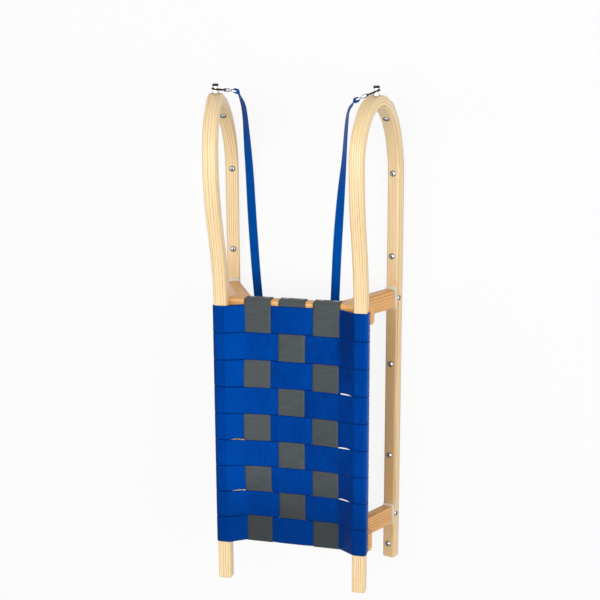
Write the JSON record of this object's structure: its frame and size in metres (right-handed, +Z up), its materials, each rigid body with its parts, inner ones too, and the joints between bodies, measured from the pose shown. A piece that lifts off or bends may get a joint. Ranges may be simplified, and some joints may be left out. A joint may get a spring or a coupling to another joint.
{
  "type": "snow sled",
  "caption": "Wooden horn sled with bent ash side frames, leaning steel-shod runners, two yokes in rubber bushings, a woven webbing seat and a flat pull strap.",
  "frame": {"origin": "under the middle of the sled's bounding box, on the ground that the soles' inner edges stand on", "axes": "+X forward to the horns' noses, +Y to the rider's left, +Z up"},
  "size_m": [0.9232, 0.3432, 0.2394],
  "materials": {
    "ash_frame": "clear satin lacquer on pale bent ash",
    "ash_yoke": "clear satin lacquer on warmer laminated ash",
    "sole_steel": "plain rolled steel, polished by running",
    "zinc_fastener": "bright zinc plate",
    "bushing_rubber": "off-white, slightly translucent",
    "blue_webbing": "royal blue ribbed seat webbing",
    "grey_webbing": "mid grey ribbed seat webbing",
    "chrome_fitting": "bright chrome",
    "dark_brass": "dark tarnished brass",
    "strap_webbing": "royal blue flat webbing"
  },
  "bodies": {
    "root": {"side_frame_left": "ash_frame", "side_frame_right": "ash_frame", "sole_left": "sole_steel", "sole_right": "sole_steel", "yoke_front": "ash_yoke", "yoke_rear": "ash_yoke", "bushing_front_left": "bushing_rubber", "bushing_front_right": "bushing_rubber", "bushing_rear_left": "bushing_rubber", "bushing_rear_right": "bushing_rubber", "runner_bolt_left_1": "zinc_fastener", "runner_bolt_left_2": "zinc_fastener", "runner_bolt_left_3": "zinc_fastener", "runner_bolt_left_4": "zinc_fastener", "runner_bolt_left_5": "zinc_fastener", "runner_bolt_left_6": "zinc_fastener", "runner_bolt_right_1": "zinc_fastener", "runner_bolt_right_2": "zinc_fastener", "runner_bolt_right_3": "zinc_fastener", "runner_bolt_right_4": "zinc_fastener", "runner_bolt_right_5": "zinc_fastener", "runner_bolt_right_6": "zinc_fastener", "rail_bolt_front_left": "zinc_fastener", "rail_bolt_front_right": "zinc_fastener", "rail_bolt_rear_left": "zinc_fastener", "rail_bolt_rear_right": "zinc_fastener", "cross_bolt_front_left": "zinc_fastener", "cross_bolt_front_right": "zinc_fastener", "cross_bolt_rear_left": "zinc_fastener", "cross_bolt_rear_right": "zinc_fastener", "seat_row_1": "blue_webbing", "seat_row_2": "blue_webbing", "seat_row_3": "blue_webbing", "seat_row_4": "blue_webbing", "seat_row_5": "blue_webbing", "seat_row_6": "blue_webbing", "seat_row_7": "blue_webbing", "seat_row_8": "blue_webbing", "seat_row_9": "blue_webbing", "seat_column_left": "grey_webbing", "seat_column_middle": "grey_webbing", "seat_column_right": "grey_webbing", "tow_stud_left": "chrome_fitting", "tow_stud_right": "chrome_fitting", "snap_hook_left": "dark_brass", "snap_hook_right": "dark_brass", "strap_loop_left": "strap_webbing", "strap_loop_right": "strap_webbing", "pull_strap": "strap_webbing"}
  },
  "joints": []
}
